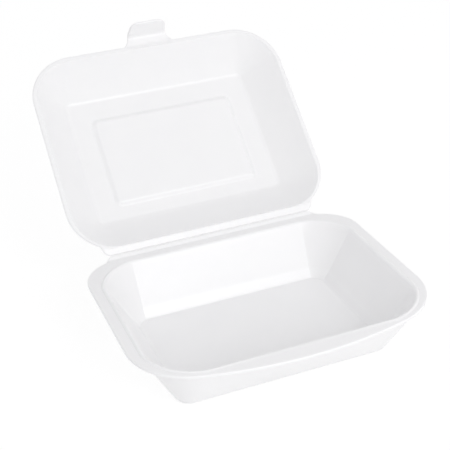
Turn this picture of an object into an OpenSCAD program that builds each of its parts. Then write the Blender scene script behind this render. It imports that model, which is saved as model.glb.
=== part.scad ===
// Hinged foam food container with its lid standing open.
// One sheet of foam pressed into a deep tray and a shallow lid, joined by a creased strip along the back.
// The base's underside is on z = 0, its centre is the origin, and the hinge is towards +Y.

/* [Tray] */

// Width across the tray's rim
tray_w = 238; // [216:1:264]
// Depth of the tray's rim, from the middle of its bowed front edge to its back edge
tray_d = 193; // [184:1:206]
// How far the middle of that depth lies ahead of the base's centre
rim_shift = 4.5; // [0:0.5:8]
// Radius of the bow in the front edge
bow_r = 312; // [260:4:400]
// Height of the rim's flat top above the table
tray_h = 48.5; // [40:0.5:60]
// Corner radius of the rim at the front
rim_r_front = 52; // [44:1:58]
// Corner radius of the rim at the back
rim_r_back = 33; // [28:1:42]
// Width of the rim along each side
flange_side = 11.5; // [10.5:0.25:14]
// Width of the rim along the back
flange_back = 10; // [9:0.25:13]
// Thickness of the rim
flange_t = 2.6; // [2:0.1:3.2]
// Thickness of the sloping walls
wall_t = 3.6; // [2.8:0.1:4.2]
// Thickness of the floor
floor_t = 4.6; // [3.4:0.1:5.4]
// Corner radius of the opening
cavity_r = 34; // [28:1:38]

/* [Base] */

// Width of the base where the walls begin
base_w = 172; // [160:1:190]
// Distance from the origin to the base's front edge
base_front = 56.5; // [50:0.5:64]
// Distance from the origin to the base's back edge
base_back = 64; // [58:0.5:68]
// Corner radius of the base
base_r = 11; // [8:1:18]
// Rounding along the base's lower edge
foot_r = 2; // [1.2:0.1:3]
// Height of the bevel between wall and floor, inside
bevel_h = 7.5; // [4:0.5:10]
// Reach of that bevel over the floor
bevel_run = 3; // [2:0.5:8]

/* [Rim details] */

// Height of the bead around the opening
bead_h = 1; // [0.5:0.1:1.4]
// Width of that bead
bead_w = 2.8; // [2:0.1:3.2]
// Drop of the lip's front edge
lip_droop = 1.5; // [0:0.1:2.5]
// Rounding under the rim where it leaves the wall
under_r = 3; // [1.5:0.25:4]

/* [Lid] */

// Depth of the lid from its rim to the flat panel, inside
lid_depth = 30; // [24:0.5:36]
// Thickness of the lid
lid_t = 1.8; // [1.5:0.1:2.2]
// Width of the flat edge that sits on the tray
land_w = 4; // [3:0.1:4.4]
// Width that the edge keeps along the back, besides its rounding
land_back = 0.4; // [0.2:0.1:2]
// Thickness of that edge
lid_edge_t = 2.6; // [2:0.1:3.2]
// Corner radius of the lid at the front
lid_r_front = 41; // [34:1:48]
// Corner radius of the lid at the back
lid_r_back = 40; // [32:1:46]
// How far the middle of the rim's front reaches beyond the lid's straight front edge
lip_reach = 8; // [6:0.25:11]
// How far the lid's sides stay inside the rim's sides
lid_inset = 2.5; // [1.5:0.25:5]
// How far the lid's back edge stays ahead of the rim's back edge
lid_back_inset = -0.8; // [-1:0.1:2]
// Bulge of the lid's walls, 0 for straight ones
lid_curve = 0.25; // [0:0.05:0.8]
// Width of the flat panel
panel_w = 170; // [155:1:182]
// Depth of the flat panel, front to back
panel_d = 118; // [105:1:128]
// Distance that the panel's middle lies behind the base's centre
panel_shift = -1; // [-4:0.5:4]
// Corner radius of the panel
panel_r = 5; // [4:0.5:10]
// Width of the rectangle pressed into the panel
recess_w = 129; // [110:1:145]
// Depth of that rectangle, front to back
recess_d = 83; // [65:1:92]
// Distance that the rectangle's middle lies behind the base's centre
recess_shift = 2; // [-4:0.5:6]
// Corner radius of the rectangle
recess_r = 4; // [3:0.5:8]
// How far the rectangle is pressed in
recess_h = 2.4; // [1.5:0.1:4]
// Width of the rectangle's sloping edge
recess_step = 5; // [1.5:0.1:6]

/* [Hinge] */

// Angle that the lid stands open, from closed
open_deg = 138; // [0:1:180]
// Length of the creased strip
leaf_w = 191; // [160:1:200]
// Distance from the rim's back edge to the crease
leaf_reach = 5; // [4:0.25:8]
// Height of the crease above the rim's flat top
leaf_rise = 1.8; // [1.2:0.1:2.6]
// Thickness of the strip on each side of the crease
leaf_t = 1.6; // [1:0.1:2]

/* [Tab] */

// Width of the lid's tab
tab_w = 37; // [30:1:50]
// Width of the tab's flared root
tab_root_w = 46; // [40:1:60]
// Width of the tab's end
tab_end_w = 31; // [28:1:46]
// Radius of the end's two corners
tab_r = 6.5; // [4:0.5:12]
// How far the tab hangs below the rim when closed
tab_drop = 18.5; // [14:0.5:26]
// Thickness of the tab
tab_t = 2.2; // [1.8:0.1:2.4]
// Bend radius along the middle of the tab's thickness
tab_bend = 5; // [4:0.25:8]
// Angle that the tab is bent down
tab_deg = 84; // [75:1:90]

/* [Fits] */

// Gap between the lid's edge and the rim when closed
seat_gap = 0.3; // [0.2:0.05:0.5]
// Gap across the crease when the lid lies flat open
crease_gap = 0.5; // [0.4:0.05:0.8]
// Gap between the tab and the lip when closed
tab_gap = 1.1; // [0.6:0.1:2]
// Gap between the bead and the lid's edge when closed
bead_gap = 0.5; // [0.3:0.1:1]

/* [Detail] */

// Steps around each corner
arc_steps = 12; // [8:1:14]
// Steps along the front edge
front_steps = 18; // [12:1:20]

/* [Hidden] */

// An outline is half width, front and back distance, front and back corner radius, and the front edge's bow.
// A bow of 0 stands for a straight front edge.
straight = 0;
rim_front = tray_d / 2 + rim_shift;
rim_back = tray_d / 2 - rim_shift;
rim = [tray_w / 2, rim_front, rim_back, rim_r_front, rim_r_back, bow_r];
lid_front = rim_front - lip_reach;
cavity_front = lid_front - land_w - bead_gap - bead_w;
cavity = [tray_w / 2 - flange_side, cavity_front, rim_back - flange_back, cavity_r, cavity_r - 3, straight];
base = [base_w / 2, base_front, base_back, base_r, base_r, straight];
wall_run = wall_t / cos(atan((cavity[0] - base[0]) / tray_h));
wall_top = grow(cavity, wall_run);

hinge_y = rim_back + leaf_reach;
hinge_z = tray_h + leaf_rise + seat_gap / 2;
leaf_end = hinge_y - crease_gap / 2;
leaf_start = rim_back - 2;
leaf_slope = (leaf_rise + 0.4) / (leaf_end - leaf_start);

lid_z = tray_h + seat_gap;
lid_back = rim_back - lid_back_inset;
lid_rim = [tray_w / 2 - lid_inset, lid_front, lid_back, lid_r_front, lid_r_back, straight];
mouth_back = lid_back - lid_edge_t / 2 - land_back;
lid_mouth = [
    lid_rim[0] - land_w, lid_front - land_w, mouth_back,
    lid_r_front - land_w, lid_r_back - land_w, straight];
panel = [panel_w / 2, panel_d / 2 - panel_shift, panel_d / 2 + panel_shift, panel_r, panel_r, straight];
recess_half = recess_d / 2;
recess = [recess_w / 2, recess_half - recess_shift, recess_half + recess_shift, recess_r, recess_r, straight];

tab_start = lid_front - 2;
tab_face = rim_front + tab_gap + tab_t / 2;
tab_turn = max(tab_face - tab_bend, tab_start + 1);
tab_mid_z = lid_z + lid_edge_t / 2;
tab_arc = tab_bend * tab_deg * PI / 180;
tab_flat = tab_turn - tab_start;
tab_hang = (tab_drop + lid_edge_t / 2 - tab_bend * sin(tab_deg)) / sin(tab_deg);
tab_len = tab_flat + tab_arc + tab_hang;

foam = [0.95, 0.95, 0.945];

// Outlines and rings

function mix(a, b, t) = a * (1 - t) + b * t;

function bowed(o) = o[5] > 0;

function grow(o, d) = [
    o[0] + d, o[1] + d, o[2] + d,
    max(o[3] + d, 1), max(o[4] + d, 1), bowed(o) ? o[5] + d : 0];

function arc(x, y, r, from, to, steps, skip = 0) =
    [for (i = [skip : steps - skip]) let (a = mix(from, to, i / steps)) [x + r * cos(a), y + r * sin(a)]];

function row(from, to, y, steps) = [for (i = [1 : steps - 1]) [mix(from, to, i / steps), y]];

// The front corners run into the bowed front edge without a kink.
function plan(o) = let (
    fx = o[0] - o[3],
    bx = o[0] - o[4],
    bow_y = o[5] - o[1],
    lean = bowed(o) ? asin(fx / (o[5] - o[3])) : 0,
    fy = bowed(o) ? bow_y - (o[5] - o[3]) * cos(lean) : o[3] - o[1],
    by = o[2] - o[4])
    concat(
        bowed(o)
            ? arc(0, bow_y, o[5], -90 - lean, lean - 90, front_steps, 1)
            : row(-fx, fx, -o[1], front_steps),
        arc(fx, fy, o[3], lean - 90, 0, arc_steps),
        arc(bx, by, o[4], 0, 90, arc_steps),
        arc(-bx, by, o[4], 90, 180, arc_steps),
        arc(-fx, fy, o[3], 180, 270 - lean, arc_steps));

// The lip droops in the middle, and less towards the front corners.
function lip(p) = p[1] < 0 ? pow(max(1 - pow(p[0] * 2 / tray_w, 2), 0), 2) : 0;

function ring(o, z, droop = 0) = [for (p = plan(o)) [p[0], p[1], z - droop * lip(p)]];

// A closed solid through rings that have the same number of points.
module skin(rings) {
    n = len(rings[0]);
    last = len(rings) - 1;
    first_mid = n * (last + 1);
    last_mid = first_mid + 1;
    points = concat([for (r = rings) each r], [middle(rings[0]), middle(rings[last])]);
    sides = [for (k = [0 : last - 1]) for (i = [0 : n - 1]) let (j = (i + 1) % n)
        each [[k * n + i, (k + 1) * n + i, (k + 1) * n + j], [k * n + i, (k + 1) * n + j, k * n + j]]];
    first_cap = [for (i = [0 : n - 1]) [first_mid, i, (i + 1) % n]];
    last_cap = [for (i = [0 : n - 1]) [last_mid, last * n + (i + 1) % n, last * n + i]];
    polyhedron(points, concat(sides, first_cap, last_cap));
}

function middle(points) = [for (k = [0 : 2]) sum([for (p = points) p[k]]) / len(points)];

function sum(v) = v * [for (x = v) 1];

// Tray

function wall_out(z) = mix(base, wall_top, z / tray_h);

function wall_in(z) = grow(wall_out(z), -wall_run);

module tray_shell() {
    under_z = tray_h - flange_t;
    edge_r = flange_t / 2;
    bevel_z = floor_t + bevel_h;
    foot = [for (a = [0 : 30 : 90]) let (z = foot_r * (1 - cos(a)))
        ring(grow(wall_out(z), -foot_r * (1 - sin(a))), z)];
    wall = [for (t = [0.25 : 0.25 : 0.75]) let (z = mix(foot_r, under_z - under_r, t)) ring(wall_out(z), z)];
    under = [for (a = [0 : 30 : 90])
        ring(grow(wall_out(under_z - under_r), under_r * (1 - cos(a))), under_z - under_r * (1 - sin(a)))];
    edge = [for (a = [-90 : 30 : 90])
        ring(grow(rim, edge_r * (cos(a) - 1)), tray_h - edge_r + edge_r * sin(a), lip_droop)];
    bead = [for (t = [0 : 0.2 : 1]) ring(grow(cavity, bead_w * (1 - t)), tray_h + bead_h * sin(180 * t))];
    inside = [for (t = [0.25 : 0.25 : 0.75]) let (z = mix(tray_h, bevel_z, t)) ring(wall_in(z), z)];
    bevel = [for (t = [0 : 0.5 : 1]) let (z = mix(bevel_z, floor_t, t))
        ring(grow(wall_in(z), -bevel_run * t), z)];
    skin(concat(foot, wall, under, edge, bead, inside, bevel));
}

// Hinge strip

function leaf_top(y) = tray_h - 0.4 + (y - leaf_start) * leaf_slope;

// The strip's two ends are rounded off, so each station has its own end.
function leaf_stations() = let (h = leaf_w / 2) [
    [-h, leaf_end - 5], [-h + 1.2, leaf_end - 2.4], [-h + 3, leaf_end - 0.7], [-h + 5.5, leaf_end],
    [h - 5.5, leaf_end], [h - 3, leaf_end - 0.7], [h - 1.2, leaf_end - 2.4], [h, leaf_end - 5]];

module tray_leaf() {
    skin([for (s = leaf_stations()) [
        [s[0], leaf_start - 1.5, tray_h - 1.9],
        [s[0], s[1], leaf_top(s[1]) - leaf_t],
        [s[0], s[1], leaf_top(s[1])],
        [s[0], leaf_start, leaf_top(leaf_start)]]]);
}

// Back edge of an outline at a place across it.
function back_edge(o, x) = o[2] - o[4] + sqrt(max(o[4] * o[4] - pow(max(abs(x) - o[0] + o[4], 0), 2), 0));

module lid_leaf() {
    skin([for (s = leaf_stations()) let (edge = back_edge(lid_rim, s[0]), near = edge - 0.3) [
        [s[0], edge - 1.6, lid_z + lid_edge_t * 0.35],
        [s[0], near, max(leaf_top(near) + seat_gap * 1.2, lid_z + lid_edge_t * 0.1)],
        [s[0], s[1], leaf_top(s[1]) + seat_gap],
        [s[0], s[1], leaf_top(s[1]) + seat_gap + leaf_t],
        [s[0], edge - 1.6, lid_z + lid_edge_t]]]);
}

// Lid, drawn closed

function lid_rise(t) = lid_depth * (t + lid_curve * t * (1 - t));

module lid_shell() {
    edge_r = lid_edge_t / 2;
    top_z = lid_z + lid_depth;
    half = recess_step / 2;
    hollow = [
        ring(grow(recess, -half), top_z - recess_h),
        ring(grow(recess, half), top_z)];
    inside = [for (t = [1 : -0.125 : 0]) ring(mix(lid_mouth, panel, t), lid_z + lid_rise(t))];
    edge = [for (a = [-90 : 30 : 90])
        ring(grow(lid_rim, edge_r * (cos(a) - 1)), lid_z + edge_r + edge_r * sin(a))];
    outside = [for (t = [0.1 : 0.1 : 1])
        ring(grow(mix(lid_mouth, panel, t), lid_t * 0.7), lid_z + lid_rise(t) + lid_t * 0.75)];
    top = [
        ring(grow(panel, -0.4), top_z + lid_t),
        ring(grow(recess, half + 0.6), top_z + lid_t),
        ring(grow(recess, 0.6 - half), top_z + lid_t - recess_h)];
    skin(concat(hollow, inside, edge, outside, top));
}

// Tab: stations along its length, each with its place, its slope and its half width

function tab_half(s) = let (
    past = s - 2,
    flare = max(1 - past / 8, 0),
    straight = mix(tab_w / 2, tab_end_w / 2, max(s - tab_flat, 0) / (tab_len - tab_flat)),
    left = tab_r - (tab_len - s))
    straight + (tab_root_w - tab_w) / 2 * pow(flare, 2)
        - (left > 0 ? tab_r - sqrt(max(tab_r * tab_r - left * left, 0)) : 0);

function tab_place(s) = s <= tab_flat ? [-tab_start - s, tab_mid_z, 0]
    : s <= tab_flat + tab_arc ? let (a = (s - tab_flat) / tab_bend * 180 / PI)
        [-tab_turn - tab_bend * sin(a), tab_mid_z - tab_bend * (1 - cos(a)), a]
    : let (d = s - tab_flat - tab_arc)
        [-tab_turn - tab_bend * sin(tab_deg) - d * cos(tab_deg),
         tab_mid_z - tab_bend * (1 - cos(tab_deg)) - d * sin(tab_deg), tab_deg];

function tab_ring(s) = let (p = tab_place(s), w = tab_half(s), h = tab_t / 2, c = 0.4)
    [for (q = [
        [c - w, -h], [w - c, -h], [w, c - h], [w, h - c],
        [w - c, h], [c - w, h], [-w, h - c], [-w, c - h]])
        [q[0], p[0] - q[1] * sin(p[2]), p[1] + q[1] * cos(p[2])]];

module tab() {
    body = tab_len - tab_r;
    skin(concat(
        [for (k = [0 : 19]) tab_ring(body * k / 20)],
        [for (a = [0 : 15 : 75]) tab_ring(body + tab_r * sin(a))],
        [tab_ring(tab_len - 0.05)]));
}

module lid_closed() {
    lid_shell();
    lid_leaf();
    tab();
}

// Sub-parts

module tray() {
    color(foam) {
        tray_shell();
        tray_leaf();
    }
}

module lid() {
    color(foam)
        translate([0, hinge_y, hinge_z]) rotate([-open_deg, 0, 0]) translate([0, -hinge_y, -hinge_z])
            lid_closed();
}

tray();
lid();
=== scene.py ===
import math
import bpy
from mathutils import Matrix, Vector


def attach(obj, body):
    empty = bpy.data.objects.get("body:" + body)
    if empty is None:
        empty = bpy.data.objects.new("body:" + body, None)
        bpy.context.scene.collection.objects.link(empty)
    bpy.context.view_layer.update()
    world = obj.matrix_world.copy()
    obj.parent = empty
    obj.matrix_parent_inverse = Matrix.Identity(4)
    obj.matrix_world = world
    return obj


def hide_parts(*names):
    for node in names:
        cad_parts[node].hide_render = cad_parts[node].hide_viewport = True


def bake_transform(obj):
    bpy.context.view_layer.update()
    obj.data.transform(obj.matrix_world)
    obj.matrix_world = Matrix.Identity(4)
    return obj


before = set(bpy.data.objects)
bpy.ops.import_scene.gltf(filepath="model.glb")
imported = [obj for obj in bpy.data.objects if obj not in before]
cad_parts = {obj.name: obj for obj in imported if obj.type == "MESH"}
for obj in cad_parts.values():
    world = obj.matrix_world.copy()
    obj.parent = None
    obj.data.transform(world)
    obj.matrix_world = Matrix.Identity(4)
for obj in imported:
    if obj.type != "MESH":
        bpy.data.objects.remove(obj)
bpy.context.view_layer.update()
print("frame loaded")

mm = 0.001
leastRadius = 0.8  # mm, a corner never gets tighter than this
sharpAngle = math.radians(38)  # bends above this stay crisp


# shared helpers

def lerp(a, b, t):
    return a + (b - a) * t


def smooth(t):
    t = min(max(t, 0), 1)
    return t * t * (3 - 2 * t)


def runs(n):  # n even steps with a few close ones at each end
    near = [0.004, 0.015, 0.05]
    even = [lerp(near[-1], 1 - near[-1], i / n) for i in range(1, n)]
    return near + even + [1 - v for v in reversed(near)]


def spread(stops):  # (from, to, step) runs joined in one rising list
    xs = []
    for a, b, step in stops:
        n = max(1, round((b - a) / step))
        xs += [lerp(a, b, i / n) for i in range(n)]
    return xs


# an outline is half width, front, back, front radius, back radius and the bow's radius, in mm

def mixOutline(a, b, t):
    return [lerp(p, q, t) for p, q in zip(a, b)]


def grow(o, d):
    bow = o[5] + d if o[5] else 0
    return [o[0] + d, o[1] + d, o[2] + d, max(o[3] + d, leastRadius), max(o[4] + d, leastRadius), bow]


def corner(mid, r, first, last, steps, flat):  # flat above 0 draws the round corner towards its chord
    pts = []
    for i in range(steps + 1):
        a = lerp(first, last, i / steps)
        pts.append(Vector((mid[0] + r * math.cos(a), mid[1] + r * math.sin(a))))
    return [p.lerp(pts[0].lerp(pts[-1], i / steps), flat) for i, p in enumerate(pts)]


def plan(o, cols, flat=0):
    hw, front, back, rf, rb, bow = o
    fx, bx = hw - rf, hw - rb
    lean = math.asin(fx / (bow - rf)) if bow else 0
    fy = bow - front - (bow - rf) * math.cos(lean) if bow else rf - front
    by = back - rb
    right = [tuple(p) for p in corner((fx, fy), rf, lean - math.pi / 2, 0, cols["arcFront"], flat)]
    right += [(hw, lerp(fy, by, t)) for t in cols["side"]]
    right += [tuple(p) for p in corner((bx, by), rb, 0, math.pi / 2, cols["arcBack"], flat)]
    pts = []
    for u in cols["front"]:
        a = lean * u - math.pi / 2
        pts.append((bow * math.cos(a), bow - front + bow * math.sin(a)) if bow else (fx * u, -front))
    pts += right
    pts += [(bx * (1 - 2 * t), back) for t in cols["back"]]
    pts += [(-x, y) for x, y in reversed(right)]
    return pts


def ring(o, z, cols, flat=0):
    return [Vector((x, y, z)) for x, y in plan(o, cols, flat)]


def shrunk(points, shares):  # the same ring, drawn in towards its middle
    mid = sum(points, Vector()) / len(points)
    return [[mid + (p - mid) * s for p in points] for s in shares]


def skin(name, rings):  # closed mesh through the rings, with a fan at each end
    n = len(rings[0])
    verts = [p * mm for r in rings for p in r]
    faces = []
    for k in range(len(rings) - 1):
        for i in range(n):
            j = (i + 1) % n
            faces.append((k * n + i, k * n + j, (k + 1) * n + j, (k + 1) * n + i))
    first, last = len(verts), len(verts) + 1
    verts.append(sum(rings[0], Vector()) / n * mm)
    verts.append(sum(rings[-1], Vector()) / n * mm)
    top = (len(rings) - 1) * n
    for i in range(n):
        j = (i + 1) % n
        faces.append((first, j, i))
        faces.append((last, top + i, top + j))
    mesh = bpy.data.meshes.new(name)
    mesh.from_pydata(verts, [], faces)
    mesh.polygons.foreach_set("use_smooth", [True] * len(mesh.polygons))
    mesh.set_sharp_from_angle(angle=sharpAngle)
    mesh.update()
    obj = bpy.data.objects.new(name, mesh)
    bpy.context.scene.collection.objects.link(obj)
    return obj


# foam material

foamLook = {
    "light": (0.94, 0.94, 0.942, 1), "lightFrom": 0.68,
    "dark": (0.928, 0.928, 0.932, 1), "darkTo": 0.3,
    "roughness": 0.32, "specular": 0.55,
    "subsurface": 0.2, "subsurfaceDepth": 0.0025,
    "cloud": 38, "cloudDetail": 5,  # slow change of tone over the sheet
    "cell": 620,  # foam cells to the metre
    "cellBump": 0.10, "cellHeight": 0.0003,
    "wave": 110, "waveDetail": 3, "waveBump": 0.05, "waveHeight": 0.0006,
}


def foamMaterial(name, s):
    mat = bpy.data.materials.new(name)
    mat.use_nodes = True
    nodes, links = mat.node_tree.nodes, mat.node_tree.links
    shader = nodes["Principled BSDF"]
    shader.inputs["Roughness"].default_value = s["roughness"]
    shader.inputs["Specular IOR Level"].default_value = s["specular"]
    shader.inputs["Subsurface Weight"].default_value = s["subsurface"]
    shader.inputs["Subsurface Radius"].default_value = (1.0, 1.0, 1.0)
    shader.inputs["Subsurface Scale"].default_value = s["subsurfaceDepth"]
    coords = nodes.new("ShaderNodeTexCoord")

    cloud = nodes.new("ShaderNodeTexNoise")
    cloud.inputs["Scale"].default_value = s["cloud"]
    cloud.inputs["Detail"].default_value = s["cloudDetail"]
    links.new(coords.outputs["Object"], cloud.inputs["Vector"])
    tone = nodes.new("ShaderNodeValToRGB")
    tone.color_ramp.elements[0].position = s["darkTo"]
    tone.color_ramp.elements[0].color = s["dark"]
    tone.color_ramp.elements[1].position = s["lightFrom"]
    tone.color_ramp.elements[1].color = s["light"]
    links.new(cloud.outputs["Fac"], tone.inputs["Fac"])
    links.new(tone.outputs["Color"], shader.inputs["Base Color"])

    cells = nodes.new("ShaderNodeTexVoronoi")  # pressed foam cells
    cells.feature = "SMOOTH_F1"
    cells.inputs["Scale"].default_value = s["cell"]
    links.new(coords.outputs["Object"], cells.inputs["Vector"])
    waves = nodes.new("ShaderNodeTexNoise")  # skin that isn't quite flat
    waves.inputs["Scale"].default_value = s["wave"]
    waves.inputs["Detail"].default_value = s["waveDetail"]
    links.new(coords.outputs["Object"], waves.inputs["Vector"])
    fine = nodes.new("ShaderNodeBump")
    fine.inputs["Strength"].default_value = s["cellBump"]
    fine.inputs["Distance"].default_value = s["cellHeight"]
    links.new(cells.outputs["Distance"], fine.inputs["Height"])
    broad = nodes.new("ShaderNodeBump")
    broad.inputs["Strength"].default_value = s["waveBump"]
    broad.inputs["Distance"].default_value = s["waveHeight"]
    links.new(waves.outputs["Fac"], broad.inputs["Height"])
    links.new(fine.outputs["Normal"], broad.inputs["Normal"])
    links.new(broad.outputs["Normal"], shader.inputs["Normal"])
    return mat


foam = foamMaterial("foam", foamLook)
print("foam material made")


# hinge strip, shared by both halves

hinge = {
    "y": 97, "z": 50.45,  # the crease
    "end": 96.65,  # where each strip stops
    "halfWidth": 95.5, "roundFrom": 89,
    "thickness": 1.6,
    "dipFrom": 86, "dip": 0.8,  # the back of the tray's rim sinks a little
    "stepFrom": 93.4, "stepTo": 96.2, "rise": 1.8,  # then steps up to the crease
    "rampFrom": 91.1, "foot": 0.6, "footRun": 0.6, "rampAfter": 0.5,  # the lid's has a small step and a ramp
    "lean": 0.1,  # slope of the strips right at the crease
    "open": 138,
}


def trayStrip(y):
    low = smooth((y - hinge["dipFrom"]) / (hinge["stepFrom"] - hinge["dipFrom"]))
    step = smooth((y - hinge["stepFrom"]) / (hinge["stepTo"] - hinge["stepFrom"]))
    return (hinge["rise"] + hinge["dip"]) * step - hinge["dip"] * low


def lidStrip(y):
    along = y - hinge["rampFrom"]
    t = (along - hinge["rampAfter"]) / (hinge["stepTo"] - hinge["rampFrom"] - hinge["rampAfter"])
    step = hinge["foot"] * smooth(along / hinge["footRun"])
    return step + (hinge["rise"] - hinge["foot"]) * min(max(t, 0), 1)


def stripShare(p):  # 1 where the strip has its full length, 0 past its rounded ends and at the front
    if p[1] <= 0:
        return 0
    q = (abs(p[0]) - hinge["roundFrom"]) / (hinge["halfWidth"] - hinge["roundFrom"])
    return 1 if q <= 0 else math.sqrt(max(1 - q * q, 0))


def stripEdge(core, edge, half):  # the edge's radius, the way it faces and its place in y
    share = stripShare(core)
    r = lerp(half, hinge["thickness"] / 2, share)
    out = Vector((edge[0] - core[0], edge[1] - core[1])).normalized()
    out = out.lerp(Vector((0, 1)), share).normalized()
    return r, out, lerp(core[1], hinge["end"] - r, share)


# tray

tray = {
    "height": 48.5,
    "rim": [119, 101, 92, 52, 33, 312],
    "cavity": [107.5, 85.7, 82, 34, 31, 0],
    "base": [86, 56.5, 64, 11, 11, 0],
    "wall": 3.94,  # wall thickness, measured level
    "floor": 4.6,
    "rimThickness": 2.6, "droop": 0.6,  # the front lip droops
    "edgeSquare": 0.55,  # 1 is a round edge, less is squarer
    "foot": 2.0, "under": 3.0,  # roundings at the base and under the rim
    "beadWidth": 3.4, "beadHeight": 0.9, "beadSink": 0.75,  # share of the bead that the front lip loses
    "flatMouth": 0.25, "flatCorner": 0.5, "flatFade": 18,  # inner corners, from the mouth down
    "bevelHeight": 7.5, "bevelRun": 1.6, "bevelRows": [0.04, 0.3, 0.6, 0.9],
    "floorBend": [(0.15, 0.34), (-0.25, 0.13), (-0.8, 0.02), (-1.6, 0)],  # offset and height
    "baseRings": [0.25, 0.5, 0.75, 0.92, 0.985],
    "floorRings": [0.985, 0.92, 0.8, 0.6, 0.4, 0.2],
    "steps": {"round": 6, "wall": 12, "low": 12, "edge": 10, "high": 22, "bead": 12, "inner": 16},
    "cols": {
        "front": [2 * t - 1 for t in runs(60)],
        "arcFront": 36, "side": runs(12), "arcBack": 56, "back": runs(26),
    },
}


def trayOut(z):
    return mixOutline(tray["base"], grow(tray["cavity"], tray["wall"]), z / tray["height"])


def trayIn(z):
    return grow(trayOut(z), -tray["wall"])


def lipShare(p):  # 1 in the middle of the front lip, 0 at its ends
    return max(1 - (p[0] / tray["rim"][0]) ** 2, 0) ** 2 if p[1] < 0 else 0


def trayRimColumn(inner, foot, core, edge):
    h, steps = tray["height"], tray["steps"]
    x, share = core[0], stripShare(core)
    r, out, y = stripEdge(core, edge, tray["rimThickness"] / 2)
    droop = tray["droop"] * lipShare(core)
    topZ = h + trayStrip(y) * share - droop
    square = lerp(tray["edgeSquare"], 1, share)  # the rim's edge is cut square, the strip's is round
    column = []
    for k in range(1, steps["low"]):
        t = k / steps["low"]
        z = lerp(h - tray["rimThickness"], topZ - 2 * r, t ** 3)
        column.append(Vector((lerp(inner[0], x, t), lerp(inner[1], y, t), z)))
    for k in range(steps["edge"] + 1):
        a = math.pi * (k / steps["edge"] - 0.5)
        reach = r * max(math.cos(a), 0) ** square
        up = math.copysign(abs(math.sin(a)) ** square, a)
        column.append(Vector((x + out.x * reach, y + out.y * reach, topZ - r + r * up)))
    for k in range(1, steps["high"]):
        t = k / steps["high"]
        yy = lerp(y, foot[1], t)
        z = h + trayStrip(yy) * share - droop * (1 - t)
        column.append(Vector((lerp(x, foot[0], t), yy, z)))
    return column


def trayRim(cols):  # from under the rim, round its edge and strip, back to the bead
    rootZ = tray["height"] - tray["rimThickness"] - tray["under"]
    inner = plan(grow(trayOut(rootZ), tray["under"]), cols)
    foot = plan(grow(tray["cavity"], tray["beadWidth"]), cols, tray["flatMouth"])
    core = plan(grow(tray["rim"], -tray["rimThickness"] / 2), cols)
    edge = plan(tray["rim"], cols)
    columns = [trayRimColumn(*points) for points in zip(inner, foot, core, edge)]
    return [list(row) for row in zip(*columns)]


def buildTray():
    s, cols, steps = tray, tray["cols"], tray["steps"]
    h = s["height"]
    underZ = h - s["rimThickness"] - s["under"]
    bevelZ = s["floor"] + s["bevelHeight"]
    rings = []
    for k in range(steps["round"] + 1):
        a = math.pi / 2 * k / steps["round"]
        z = s["foot"] * (1 - math.cos(a))
        rings.append(ring(grow(trayOut(z), -s["foot"] * (1 - math.sin(a))), z, cols))
    rings = shrunk(rings[0], s["baseRings"]) + rings
    for k in range(1, steps["wall"]):
        z = lerp(s["foot"], underZ, k / steps["wall"])
        rings.append(ring(trayOut(z), z, cols))
    for k in range(steps["round"] + 1):
        a = math.pi / 2 * k / steps["round"]
        flare = grow(trayOut(underZ), s["under"] * (1 - math.cos(a)))
        rings.append(ring(flare, underZ + s["under"] * math.sin(a), cols))
    rings += trayRim(cols)
    for k in range(steps["bead"] + 1):
        t = k / steps["bead"]
        rise = s["beadHeight"] * math.sin(math.pi * t)
        row = ring(grow(s["cavity"], s["beadWidth"] * (1 - t)), h, cols, s["flatMouth"])
        rings.append([p + Vector((0, 0, rise * (1 - s["beadSink"] * lipShare(p)))) for p in row])
    for k in range(1, steps["inner"] + 1):
        z = lerp(h, bevelZ, k / steps["inner"])
        flat = lerp(s["flatMouth"], s["flatCorner"], smooth((h - z) / s["flatFade"]))
        rings.append(ring(trayIn(z), z, cols, flat))
    for t in s["bevelRows"]:
        z = lerp(bevelZ, s["floor"], t)
        rings.append(ring(grow(trayIn(z), -s["bevelRun"] * t), z, cols, s["flatCorner"]))
    low = grow(trayIn(s["floor"]), -s["bevelRun"])
    for d, z in s["floorBend"]:
        rings.append(ring(grow(low, d), s["floor"] + z, cols, s["flatCorner"]))
    rings += shrunk(rings[-1], s["floorRings"])
    return skin("trayFoam", rings)


trayFoam = buildTray()
trayFoam.data.materials.append(foam)
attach(trayFoam, "tray")
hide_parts("tray")
print("tray built", len(trayFoam.data.polygons))


# lid, drawn closed and then swung open

lid = {
    "seat": 48.8,  # height of its edge when closed
    "rim": [116.5, 93, 92.8, 41, 40, 0],
    "mouth": [112.5, 89, 91.1, 37, 36, 0],
    "edge": 2.6,
    "depth": 30, "bulge": 0.25, "thickness": 1.8,
    "wallFrom": 0.96, "wallTo": 0.04,  # shares of the depth
    "outerGrow": 0.7, "outerLift": 0.75,  # shares of the thickness
    "shoulder": 0.1,  # share of the depth where the outer wall starts
    "panel": [85, 60, 58, 5, 5, 0],
    "panelIn": 3, "panelRows": [0.12, 0.4, 0.7, 0.9],
    "bendRows": [-2.2, -1.5, -0.8, -0.1, 0.6, 1.3], "bendCurve": 0.088,  # soft bend from panel to wall
    "recess": [64.5, 39.5, 43.5, 4, 4, 0],
    "recessHeight": 2.4, "recessStep": 5,
    "recessRings": [0.2, 0.4, 0.6, 0.8, 0.95],
    "backEdge": 0.4, "backDrop": 0.08, "backIn": 0.5,  # the panel's edge on the outside
    "backRecess": 0.6, "backGap": 0.7, "backRows": [0, 0.3, 0.6, 0.9],
    "steps": {"recess": 12, "wall": 24, "face": 22, "edge": 10, "back": 6},
}

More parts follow.
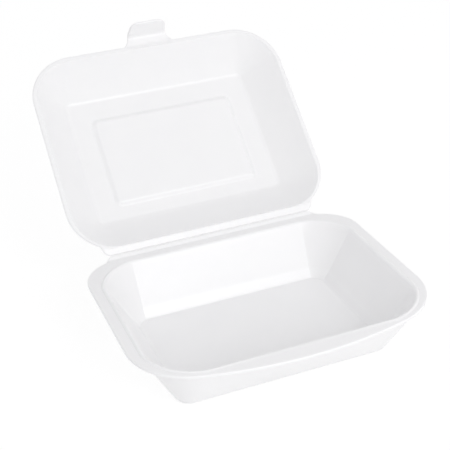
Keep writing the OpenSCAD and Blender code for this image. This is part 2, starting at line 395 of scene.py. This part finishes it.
tab = {
    "start": 91, "flat": 7.2, "bend": 5, "angle": math.radians(84), "drop": 18.5,
    "halfWidth": 18.5, "rootHalf": 23, "endHalf": 15.5, "corner": 6.5,
    "flareFrom": 2, "flareRun": 8,  # the root's flare dies out along the tab
    "thickness": 2.2, "thinRun": 6,
    "root": 0.7, "innerFrom": -2,  # where the outer and the inner face start
    "arch": 1.4, "archSide": 6, "archRise": 4, "archTo": 2, "archFall": 6.5,
    "zone": 30,  # half of the front edge that is drawn with the tab
    "stops": [(0.75, 7, 1.5), (7, 14, 0.6), (14, 19, 0.15), (19, 24, 0.35), (24, 75, 2.6)],
    "halvings": 40,
}
tab["arc"] = tab["bend"] * tab["angle"]
tab["hang"] = (tab["drop"] + lid["edge"] / 2 - tab["bend"] * math.sin(tab["angle"])) / math.sin(tab["angle"])
tab["length"] = tab["flat"] + tab["arc"] + tab["hang"]

rightColumns = spread(tab["stops"])
frontColumns = [-x for x in reversed(rightColumns)] + rightColumns
frontHalf = lid["rim"][0] - lid["rim"][3]  # half of the straight front edge
lid["cols"] = {
    "front": [x / frontHalf for x in frontColumns],
    "arcFront": 40, "side": runs(12), "arcBack": 56, "back": runs(26),
}


def tabHalf(d):
    flare = max(1 - (d - tab["flareFrom"]) / tab["flareRun"], 0)
    share = max(d - tab["flat"], 0) / (tab["length"] - tab["flat"])
    width = lerp(tab["halfWidth"], tab["endHalf"], share)
    width += (tab["rootHalf"] - tab["halfWidth"]) * flare ** 2
    past = tab["corner"] - (tab["length"] - d)
    if past > 0:
        width -= tab["corner"] - math.sqrt(max(tab["corner"] ** 2 - past * past, 0))
    return width


def tabReach(x):  # how far along the tab the sheet goes at this place across it
    if tabHalf(tab["root"]) <= x:
        return tab["root"]
    low, high = tab["root"], tab["length"]
    for _ in range(tab["halvings"]):
        mid = (low + high) / 2
        if tabHalf(mid) > x:
            low = mid
        else:
            high = mid
    return max(tab["root"], low - tab["thickness"] / 2)


def tabPlace(d):  # point on the middle of the sheet, and the slope there
    z = lid["seat"] + lid["edge"] / 2
    if d <= tab["flat"]:
        return -tab["start"] - d, z, 0
    turnY = -tab["start"] - tab["flat"]
    if d <= tab["flat"] + tab["arc"]:
        a = (d - tab["flat"]) / tab["bend"]
        return turnY - tab["bend"] * math.sin(a), z - tab["bend"] * (1 - math.cos(a)), a
    a, left = tab["angle"], d - tab["flat"] - tab["arc"]
    y = turnY - tab["bend"] * math.sin(a) - left * math.cos(a)
    return y, z - tab["bend"] * (1 - math.cos(a)) - left * math.sin(a), a


def tabLift(x, d):  # the root arches up before the tab turns down
    across = smooth((tab["rootHalf"] - abs(x)) / tab["archSide"])
    rise = smooth((d - tab["innerFrom"]) / tab["archRise"])
    fall = smooth((d - tab["archTo"]) / tab["archFall"])
    return tab["arch"] * across * rise * (1 - fall)


def tabPoint(x, d, side):  # side is -1 on the inner face, 1 on the outer one
    y, z, a = tabPlace(d)
    z += tabLift(x, d)
    thin = min(max((d - tab["root"]) / tab["thinRun"], 0), 1)
    r = lerp(lid["edge"], tab["thickness"], thin) / 2 * side
    return Vector((x, y - r * math.sin(a), z + r * math.cos(a)))


def lidRise(t):
    return lid["depth"] * (t + lid["bulge"] * t * (1 - t))


def lidOuter(t):
    return grow(mixOutline(lid["mouth"], lid["panel"], t), lid["thickness"] * lid["outerGrow"])


def lidOuterZ(t):
    return lid["seat"] + lidRise(t) + lid["thickness"] * lid["outerLift"]


def lidUnderZ(y):
    return lid["seat"] + (lidStrip(y) if y > 0 else 0)


def tabColumn(x, end):
    steps, turns = lid["steps"]["face"], lid["steps"]["edge"]
    reach = tabReach(abs(x))
    y, z, a = tabPlace(reach)
    z += tabLift(x, reach)
    column = [tabPoint(x, lerp(tab["innerFrom"], reach, k / steps), -1) for k in range(1, steps)]
    r = (tabPoint(x, reach, 1) - Vector((x, y, z))).length
    for k in range(turns + 1):
        b = math.pi * (k / turns - 0.5)
        fore, up = r * math.cos(b), r * math.sin(b)
        noseY = y - fore * math.cos(a) - up * math.sin(a)
        noseZ = z - fore * math.sin(a) + up * math.cos(a)
        column.append(Vector((x, noseY, noseZ)))
    root = tabPoint(x, tab["root"], 1)
    onTab, onLid = reach - tab["root"], (end - root).length
    for k in range(1, steps):
        d = (onTab + onLid) * k / steps
        if d < onTab:
            column.append(tabPoint(x, reach - d, 1))
        else:
            column.append(root.lerp(end, (d - onTab) / onLid))
    return column


def lidRimColumn(mouth, core, edge, end):
    steps, turns = lid["steps"]["face"], lid["steps"]["edge"]
    x = core[0]
    r, out, y = stripEdge(core, edge, lid["edge"] / 2)
    column = []
    for k in range(1, steps):
        t = k / steps
        yy = lerp(mouth[1], y, t)
        column.append(Vector((lerp(mouth[0], x, t), yy, lidUnderZ(yy))))
    lowZ = lidUnderZ(y)
    for k in range(turns + 1):
        b = math.pi * (k / turns - 0.5)
        fore = r * math.cos(b)
        column.append(Vector((x + out.x * fore, y + out.y * fore, lowZ + r + r * math.sin(b))))
    top = Vector((x, y, lowZ + 2 * r))
    return column + [top.lerp(end, k / steps) for k in range(1, steps)]


def lidEdge(cols):  # from the mouth, round the edge, strip and tab, to the outer wall
    mouth = plan(lid["mouth"], cols)
    core = plan(grow(lid["rim"], -lid["edge"] / 2), cols)
    edge = plan(lid["rim"], cols)
    shoulder = ring(lidOuter(lid["shoulder"]), lidOuterZ(lid["shoulder"]), cols)
    columns = []
    for m, c, e, end in zip(mouth, core, edge, shoulder):
        onTab = c[1] < 0 and abs(c[0]) < tab["zone"]
        columns.append(tabColumn(c[0], end) if onTab else lidRimColumn(m, c, e, end))
    return [list(row) for row in zip(*columns)]


def buildLid():
    s, cols, steps = lid, lid["cols"], lid["steps"]
    topZ = s["seat"] + s["depth"]
    outZ = topZ + s["thickness"]
    wide, deep = s["recessStep"], s["recessHeight"]
    rings = []
    for k in range(steps["recess"] + 1):
        t = k / steps["recess"]
        rings.append(ring(grow(s["recess"], wide * (t - 0.5)), topZ - deep * (1 - smooth(t)), cols))
    rings = shrunk(rings[0], s["recessRings"]) + rings
    recessEdge, panelEdge = grow(s["recess"], wide / 2), grow(s["panel"], -s["panelIn"])
    for t in s["panelRows"]:
        rings.append(ring(mixOutline(recessEdge, panelEdge, t), topZ, cols))
    for d in s["bendRows"]:
        sink = s["bendCurve"] * (d - s["bendRows"][0]) ** 2
        rings.append(ring(grow(s["panel"], d), topZ - sink, cols))
    for k in range(1, steps["wall"] + 1):
        t = lerp(s["wallFrom"], s["wallTo"], k / steps["wall"])
        rings.append(ring(mixOutline(s["mouth"], s["panel"], t), s["seat"] + lidRise(t), cols))
    rings.append(ring(s["mouth"], s["seat"], cols))
    rings += lidEdge(cols)
    for k in range(steps["wall"] + 1):
        t = lerp(s["shoulder"], 1, k / steps["wall"])
        rings.append(ring(lidOuter(t), lidOuterZ(t), cols))
    rings.append(ring(grow(s["panel"], s["backEdge"]), outZ - s["backDrop"], cols))
    recessEdge, panelEdge = grow(s["recess"], wide / 2 + s["backGap"]), grow(s["panel"], -s["backIn"])
    for t in s["backRows"]:
        rings.append(ring(mixOutline(panelEdge, recessEdge, t), outZ, cols))
    for k in range(steps["back"] + 1):
        t = k / steps["back"]
        step = grow(s["recess"], wide * (0.5 - t) + s["backRecess"])
        rings.append(ring(step, outZ - deep * smooth(t), cols))
    rings += shrunk(rings[-1], reversed(s["recessRings"]))
    return skin("lidFoam", rings)


pivot = Vector((0, hinge["y"], hinge["z"])) * mm
opening = Matrix.Rotation(math.radians(-hinge["open"]), 4, "X")
swing = Matrix.Translation(pivot) @ opening @ Matrix.Translation(-pivot)

lidFoam = buildLid()
lidFoam.data.transform(swing)
lidFoam.data.materials.append(foam)
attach(lidFoam, "lid")
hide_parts("lid")
print("lid built", len(lidFoam.data.polygons))


# thin web left in the crease

web = {
    "halfLength": 89, "middle": 1.2, "thickness": 0.7,
    "embed": 1.6, "embedSteps": 3,  # how far it reaches into each strip
    "steps": 10, "pieces": 40,
}


def buildWeb():
    lean = math.atan(hinge["lean"])
    first = lean - math.pi / 2  # square to the tray's strip
    last = first + math.pi - math.radians(hinge["open"])
    n = web["embedSteps"]
    back = Vector((-math.cos(lean), -math.sin(lean)))
    away = Vector((-math.sin(last), math.cos(last)))
    path = [(back * web["embed"] * (1 - k / n), first) for k in range(n)]
    path += [(Vector((0, 0)), lerp(first, last, k / web["steps"])) for k in range(web["steps"] + 1)]
    path += [(away * web["embed"] * (k + 1) / n, last) for k in range(n)]
    loop = []
    for side in (1, -1):
        r = web["middle"] + side * web["thickness"] / 2
        for base, a in (path if side > 0 else reversed(path)):
            loop.append((hinge["y"] + base.x + r * math.cos(a), hinge["z"] + base.y + r * math.sin(a)))
    rings = []
    for k in range(web["pieces"] + 1):
        x = web["halfLength"] * (2 * k / web["pieces"] - 1)
        rings.append([Vector((x, y, z)) for y, z in loop])
    obj = skin("creaseWeb", rings)
    mid = web["middle"]
    start = Vector((0, hinge["y"] + mid * math.cos(first), hinge["z"] + mid * math.sin(first))) * mm
    end = Vector((0, hinge["y"] + mid * math.cos(last), hinge["z"] + mid * math.sin(last))) * mm
    return obj, start, end


creaseWeb, webStart, webEnd = buildWeb()
creaseWeb.data.materials.append(foam)
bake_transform(creaseWeb)
print("crease web built")


# floor, lights and camera

stage = {
    "world": 0.755, "worldColor": (0.99, 0.985, 1.0, 1),
    "darkWay": (0.3, 0.85, 0.43), "dark": 0.5,  # a dark card stands behind, to the right
    "darkFrom": 0.78, "darkTo": 0.94,  # cosines between which it fades in
    "keyPower": 7.2, "keySize": (0.65, 0.65),
    "keyPlace": (0.338, -1.399, 0.843), "keyAim": (0, 0.07, 0.05),
    "floorHalf": 6, "floorZ": -0.0002, "floorColor": (0.97, 0.97, 0.97, 1),
    "floorWhite": 1.05, "floorGlow": 0.84, "floorBounce": 0.09,  # glow's share as seen, and as it lights
}


def backdropRays(nodes, links):  # 1 for the rays that show the white backdrop
    rays = nodes.new("ShaderNodeLightPath")
    shown = rays.outputs["Is Camera Ray"]
    for kind in ("Is Glossy Ray", "Is Transmission Ray"):
        either = nodes.new("ShaderNodeMath")
        either.operation = "MAXIMUM"
        links.new(shown, either.inputs[0])
        links.new(rays.outputs[kind], either.inputs[1])
        shown = either.outputs["Value"]
    return shown


def buildFloor():
    mesh = bpy.data.meshes.new("floor")
    half = stage["floorHalf"]
    corners = [(-half, -half, 0), (half, -half, 0), (half, half, 0), (-half, half, 0)]
    mesh.from_pydata(corners, [], [(0, 1, 2, 3)])
    obj = bpy.data.objects.new("floor", mesh)
    bpy.context.scene.collection.objects.link(obj)
    obj.location.z = stage["floorZ"]
    mat = bpy.data.materials.new("whiteFloor")
    mat.use_nodes = True
    nodes, links = mat.node_tree.nodes, mat.node_tree.links
    nodes.remove(nodes["Principled BSDF"])
    matte = nodes.new("ShaderNodeBsdfDiffuse")
    matte.inputs["Color"].default_value = stage["floorColor"]
    glow = nodes.new("ShaderNodeEmission")
    glow.inputs["Strength"].default_value = stage["floorWhite"]
    share = nodes.new("ShaderNodeMath")
    share.operation = "MULTIPLY_ADD"
    share.inputs[1].default_value = stage["floorGlow"] - stage["floorBounce"]
    share.inputs[2].default_value = stage["floorBounce"]
    mix = nodes.new("ShaderNodeMixShader")
    links.new(backdropRays(nodes, links), share.inputs[0])
    links.new(share.outputs["Value"], mix.inputs["Fac"])
    links.new(matte.outputs["BSDF"], mix.inputs[1])
    links.new(glow.outputs["Emission"], mix.inputs[2])
    links.new(mix.outputs["Shader"], nodes["Material Output"].inputs["Surface"])
    mesh.materials.append(mat)
    return obj


def buildWorld():
    world = bpy.data.worlds.new("studio")
    world.use_nodes = True
    nodes, links = world.node_tree.nodes, world.node_tree.links
    soft = nodes["Background"]
    soft.inputs["Color"].default_value = stage["worldColor"]
    coords = nodes.new("ShaderNodeTexCoord")
    near = nodes.new("ShaderNodeVectorMath")
    near.operation = "DOT_PRODUCT"
    near.inputs[1].default_value = Vector(stage["darkWay"]).normalized()
    fade = nodes.new("ShaderNodeMapRange")
    fade.interpolation_type = "SMOOTHSTEP"
    fade.inputs["From Min"].default_value = stage["darkFrom"]
    fade.inputs["From Max"].default_value = stage["darkTo"]
    fade.inputs["To Min"].default_value = stage["world"]
    fade.inputs["To Max"].default_value = stage["dark"]
    links.new(coords.outputs["Generated"], near.inputs[0])
    links.new(near.outputs["Value"], fade.inputs["Value"])
    links.new(fade.outputs["Result"], soft.inputs["Strength"])
    white = nodes.new("ShaderNodeBackground")
    white.inputs["Color"].default_value = (1, 1, 1, 1)
    white.inputs["Strength"].default_value = 1
    mix = nodes.new("ShaderNodeMixShader")
    links.new(backdropRays(nodes, links), mix.inputs["Fac"])
    links.new(soft.outputs["Background"], mix.inputs[1])
    links.new(white.outputs["Background"], mix.inputs[2])
    links.new(mix.outputs["Shader"], nodes["World Output"].inputs["Surface"])
    bpy.context.scene.world = world


def buildKey():
    data = bpy.data.lights.new("key", "AREA")
    data.shape = "RECTANGLE"
    data.size, data.size_y = stage["keySize"]
    data.energy = stage["keyPower"]
    obj = bpy.data.objects.new("key", data)
    bpy.context.scene.collection.objects.link(obj)
    obj.location = stage["keyPlace"]
    away = Vector(stage["keyPlace"]) - Vector(stage["keyAim"])
    obj.rotation_mode = "QUATERNION"
    obj.rotation_quaternion = away.to_track_quat("Z", "Y")
    obj.visible_camera = False


floor = buildFloor()
buildWorld()
buildKey()
bpy.context.scene.view_settings.view_transform = "Standard"
print("stage lit")

cameraSet = {
    "place": (-0.25742, -0.65182, 0.47035),
    "forward": (0.30008, 0.83402, -0.46299),
    "right": (0.92957, -0.36461, -0.05432),
    "lens": 84.05, "sensor": 36,
}


def buildCamera():
    data = bpy.data.cameras.new("camera")
    data.sensor_width = cameraSet["sensor"]
    data.lens = cameraSet["lens"]
    obj = bpy.data.objects.new("camera", data)
    bpy.context.scene.collection.objects.link(obj)
    forward = Vector(cameraSet["forward"]).normalized()
    up = Vector(cameraSet["right"]).cross(forward).normalized()
    right = forward.cross(up)
    turn = Matrix((right, up, -forward)).transposed().to_4x4()
    obj.matrix_world = Matrix.Translation(cameraSet["place"]) @ turn
    bpy.context.scene.camera = obj


buildCamera()
print("camera set")
